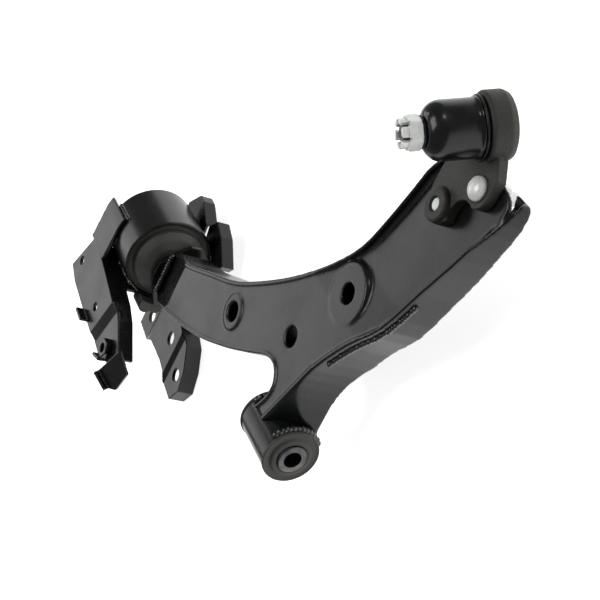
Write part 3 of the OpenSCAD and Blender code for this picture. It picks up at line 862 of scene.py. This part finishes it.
class CONTROLARM_OT_dust_boot(bpy.types.Operator):
    """Models the dust boot in two halves"""

    bl_idname = "controlarm.dust_boot"
    bl_label = "Dust boot"

    def execute(self, context):
        inside = BOOT_RADIUS - BOOT_WALL
        centre = BOOT_RADIUS - BOOT_SHOULDER
        # the shoulder's outer quarter circle, and an inner one that thins towards the neck
        shoulder = []
        lining = []
        for angle in range(0, 90, 6):
            across = BOOT_SHOULDER * math.cos(math.radians(angle))
            up = BOOT_SHOULDER * math.sin(math.radians(angle))
            shoulder.append((centre + across, BOOT_TOP - BOOT_SHOULDER + up))
            thickness = BOOT_WALL * across / BOOT_SHOULDER
            # the lining stops short of the neck's bore
            if centre + across - thickness > BOOT_NECK + 0.3:
                height = BOOT_TOP - BOOT_SHOULDER + up - BOOT_WALL
                lining.append((centre + across - thickness, height))
        # a foot flange, the groove of the clip wire and a rib over it
        lower = [
            (inside - 0.4, BOOT_FOOT),
            (BOOT_RADIUS - 0.4, BOOT_FOOT),
            (BOOT_RADIUS + 0.5, BOOT_FOOT + 0.4),
            (BOOT_RADIUS + 0.6, BOOT_FOOT + 1.0),
            (BOOT_RADIUS, BOOT_FOOT + 1.5),
            (BOOT_RADIUS, BOOT_FOOT + 3.1),
            (BOOT_RADIUS + 0.7, BOOT_FOOT + 3.7),
            (BOOT_RADIUS + 0.7, BOOT_FOOT + 4.6),
            (BOOT_RADIUS + 0.2, BOOT_FOOT + 5.4),
            (BOOT_RADIUS, BOOT_FOOT + 6.8),
            (BOOT_RADIUS, LOW_RING),
            (BOOT_RADIUS, BOOT_SPLIT),
            (inside, BOOT_SPLIT),
            (inside, LOW_RING),
            (inside, BOOT_FOOT + 7.0),
            (inside - 0.4, BOOT_FOOT + 6.6),
        ]
        upper = [
            *[(BOOT_RADIUS, height) for height in (BOOT_SPLIT, *HIGH_RINGS)],
            *shoulder,
            (BOOT_NECK, BOOT_TOP),
            (BOOT_NECK, BOOT_TOP - 2.1),
            *reversed(lining),
            *[(inside, height) for height in (*reversed(HIGH_RINGS), BOOT_SPLIT)],
        ]
        for name, profile, bodies, start, end in (
            ("boot_lower_half", lower, ("arm", "boot"), 8.0, BOOT_SPLIT - 1.0),
            ("boot_upper_half", upper, ("boot", "neck_ring"), BOOT_SPLIT + 1.0, 45.0),
        ):
            piece = spun(name, profile, ON_STUD)
            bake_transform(piece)
            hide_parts("dust_boot")
            give_finish(piece, SLOT_OF["dust_boot"])
        return {"FINISHED"}


class CONTROLARM_OT_clip_rings(bpy.types.Operator):
    """Models the wire clip at the boot's foot and the ring at its neck"""

    bl_idname = "controlarm.clip_rings"
    bl_label = "Clip rings"

    def execute(self, context):
        wire_radius, wire_height, thickness, sides = 20.95, 9.4, 0.85, 12
        wire = [
            (
                wire_radius + thickness * math.cos(math.tau * side / sides),
                wire_height + thickness * math.sin(math.tau * side / sides),
            )
            for side in range(sides)
        ]
        hand_over(spun("base_clip_wire", wire, ON_STUD), "boot_base_ring")
        # a flat ring with a rounded outer edge, just over the boot
        low, high, rim = BOOT_TOP + 0.1, BOOT_TOP + 1.55, 10.9
        band = [
            (BOOT_NECK, low),
            (rim - 0.7, low),
            (rim, low + 0.5),
            (rim, low + 1.0),
            (rim - 0.7, high),
            (BOOT_NECK, high),
        ]
        hand_over(spun("neck_clip_ring", band, ON_STUD, steps=96), "boot_neck_ring")
        return {"FINISHED"}


class CONTROLARM_OT_fasteners(bpy.types.Operator):
    """Rounds the castle nut and the bolts of the lug"""

    bl_idname = "controlarm.fasteners"
    bl_label = "Nuts and bolts"

    def execute(self, context):
        for node, name, width in (
            ("castle_nut", "slotted_nut", 0.45),
            ("lug_bolt", "dome_bolt", 0.4),
            ("lug_bolt_nut", "flange_nut", 0.4),
            ("lug_screw", "boss_screw", 0.4),
        ):
            piece = copy_of(node, name)
            soften(piece, width * MM)
            hand_over(piece, node)
        return {"FINISHED"}


class CONTROLARM_OT_welds(bpy.types.Operator):
    """Lays rippled beads where the pressings, tube and shell are welded"""

    bl_idname = "controlarm.welds"
    bl_label = "Weld beads"

    def execute(self, context):
        pitch, width, height = sizes().ripple_pitch, sizes().bead_width, sizes().bead_height
        # each bead: its piece, the CAD weld it follows, its path, its width and its height
        beads = []
        # the tube's beads stand just proud of it, with longer ripples
        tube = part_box("front_bush_tube")[1].z + 0.2 * MM
        for name, side in (("tube_bead_rear", -1), ("tube_bead_front", 1)):
            path = arc_path(tube, side * LEG_HALF_WIDTH, TUBE_BEAD_ARC, pitch * 1.2)
            beads.append((name, "front_bush_weld", path, width, height * 1.25))
        for name, node, way, wide, high in (
            ("leg_seam_bead", "arm_seam_weld", Vector((1, -0.6, 0.5)), 0.8, 1.0),
            ("arm_end_bead", "arm_end_weld", Vector((1, 0, 1)), 1.0, 1.5),
        ):
            path = seam_path(islands(node)[0], pitch, way)
            beads.append((name, node, path, width * wide, height * high))
        for bracket in ("upper_bracket", "lower_bracket"):
            node = f"{bracket}_weld"
            for number, points in enumerate(islands(node), 1):
                path = seam_path(points, pitch)
                beads.append((f"{bracket}_bead_{number}", node, path, width * 0.85, height))
        for name, node, path, wide, high in beads:
            hand_over(weld_bead(name, path, wide, high, pitch), node)
        return {"FINISHED"}


class CONTROLARM_OT_stage(bpy.types.Operator):
    """Sets the floor, the lights and the camera"""

    bl_idname = "controlarm.stage"
    bl_label = "Stage"

    def execute(self, context):
        stage = context.scene.control_arm_stage
        # the floor lies a hair under the part
        bpy.ops.mesh.primitive_grid_add(
            x_subdivisions=8,
            y_subdivisions=8,
            size=stage.floor_width,
            location=(0, 0, CAD_BOX[0][2] - 0.5 * MM),
        )
        floor = context.object
        floor.name = "studio_floor"
        only(floor)
        bpy.ops.object.transform_apply(location=True, rotation=True, scale=True)
        floor.data.materials.append(light_table_acrylic())

        world = bpy.data.worlds.new("studio_air")
        context.scene.world = world
        world.use_nodes = True
        air = world.node_tree.nodes["Background"]
        air.inputs["Color"].default_value = linear("ffffff")
        air.inputs["Strength"].default_value = 0.2

        target = (Vector(CAD_BOX[0]) + Vector(CAD_BOX[1])) / 2
        # each light: where it stands from the part, its distance, its size and its radiance
        for name, toward, away, width, length, radiance in (
            ("rear_softbox", (-0.79, -0.38, 0.49), 2.2, 1.5, 1.2, 1.4),
            ("overhead_softbox", (-0.1, 0.05, 1.0), 2.0, 1.1, 1.1, 4.4),
            ("side_strip", (0.27, 0.87, 0.41), 2.0, 0.22, 0.3, 14.0),
            ("rear_spot_box", (-0.76, 0.02, 0.65), 2.0, 0.14, 0.14, 14.0),
        ):
            place = target + Vector(toward).normalized() * away
            aim = (target - place).to_track_quat("-Z", "Y").to_euler()
            bpy.ops.object.light_add(type="AREA", location=place, rotation=aim)
            light = context.object
            light.name = light.data.name = name
            light.data.shape = "RECTANGLE"
            light.data.size = width
            light.data.size_y = length
            light.data.energy = radiance * math.pi * width * length

        bpy.ops.object.camera_add(location=stage.camera_place, rotation=stage.camera_turn)
        camera = context.object
        camera.name = camera.data.name = "main_camera"
        camera.data.sensor_width = 36
        camera.data.lens = stage.lens
        camera.data.clip_start = 0.01
        camera.data.clip_end = 50
        context.scene.camera = camera
        context.scene.view_settings.view_transform = "Standard"
        return {"FINISHED"}


OPERATORS = (
    CONTROLARM_OT_stage,
    CONTROLARM_OT_arm_shells,
    CONTROLARM_OT_bracket,
    CONTROLARM_OT_front_bush,
    CONTROLARM_OT_rear_bush,
    CONTROLARM_OT_ball_joint,
    CONTROLARM_OT_dust_boot,
    CONTROLARM_OT_clip_rings,
    CONTROLARM_OT_fasteners,
    CONTROLARM_OT_welds,
)
GROUPS = (ControlArmColours, ControlArmSizes, ControlArmStage)


class CONTROLARM_PT_panel(bpy.types.Panel):
    """Lists the pieces of the control arm and their settings"""

    bl_idname = "CONTROLARM_PT_panel"
    bl_label = "Control arm"
    bl_space_type = "VIEW_3D"
    bl_region_type = "UI"
    bl_category = "Control arm"

    def draw(self, context):
        layout = self.layout
        scene = context.scene
        for title, group in (
            ("Colours", scene.control_arm_colours),
            ("Sizes", scene.control_arm_sizes),
            ("Stage", scene.control_arm_stage),
        ):
            box = layout.box()
            box.label(text=title)
            for name in group.bl_rna.properties.keys():
                if name not in ("rna_type", "name"):
                    box.prop(group, name)
        for operator in OPERATORS:
            layout.operator(operator.bl_idname)


def register():
    """Registers the settings, the operators and the panel."""
    for group in (*GROUPS, *OPERATORS, CONTROLARM_PT_panel):
        bpy.utils.register_class(group)
    bpy.types.Scene.control_arm_colours = PointerProperty(type=ControlArmColours)
    bpy.types.Scene.control_arm_sizes = PointerProperty(type=ControlArmSizes)
    bpy.types.Scene.control_arm_stage = PointerProperty(type=ControlArmStage)


def unregister():
    """Removes what register added."""
    del bpy.types.Scene.control_arm_stage
    del bpy.types.Scene.control_arm_sizes
    del bpy.types.Scene.control_arm_colours
    for group in reversed((*GROUPS, *OPERATORS, CONTROLARM_PT_panel)):
        bpy.utils.unregister_class(group)


def main():
    """Builds every piece and the stage."""
    register()
    for operator in OPERATORS:
        group, name = operator.bl_idname.split(".")
        getattr(getattr(bpy.ops, group), name)()


if __name__ == "__main__":
    main()
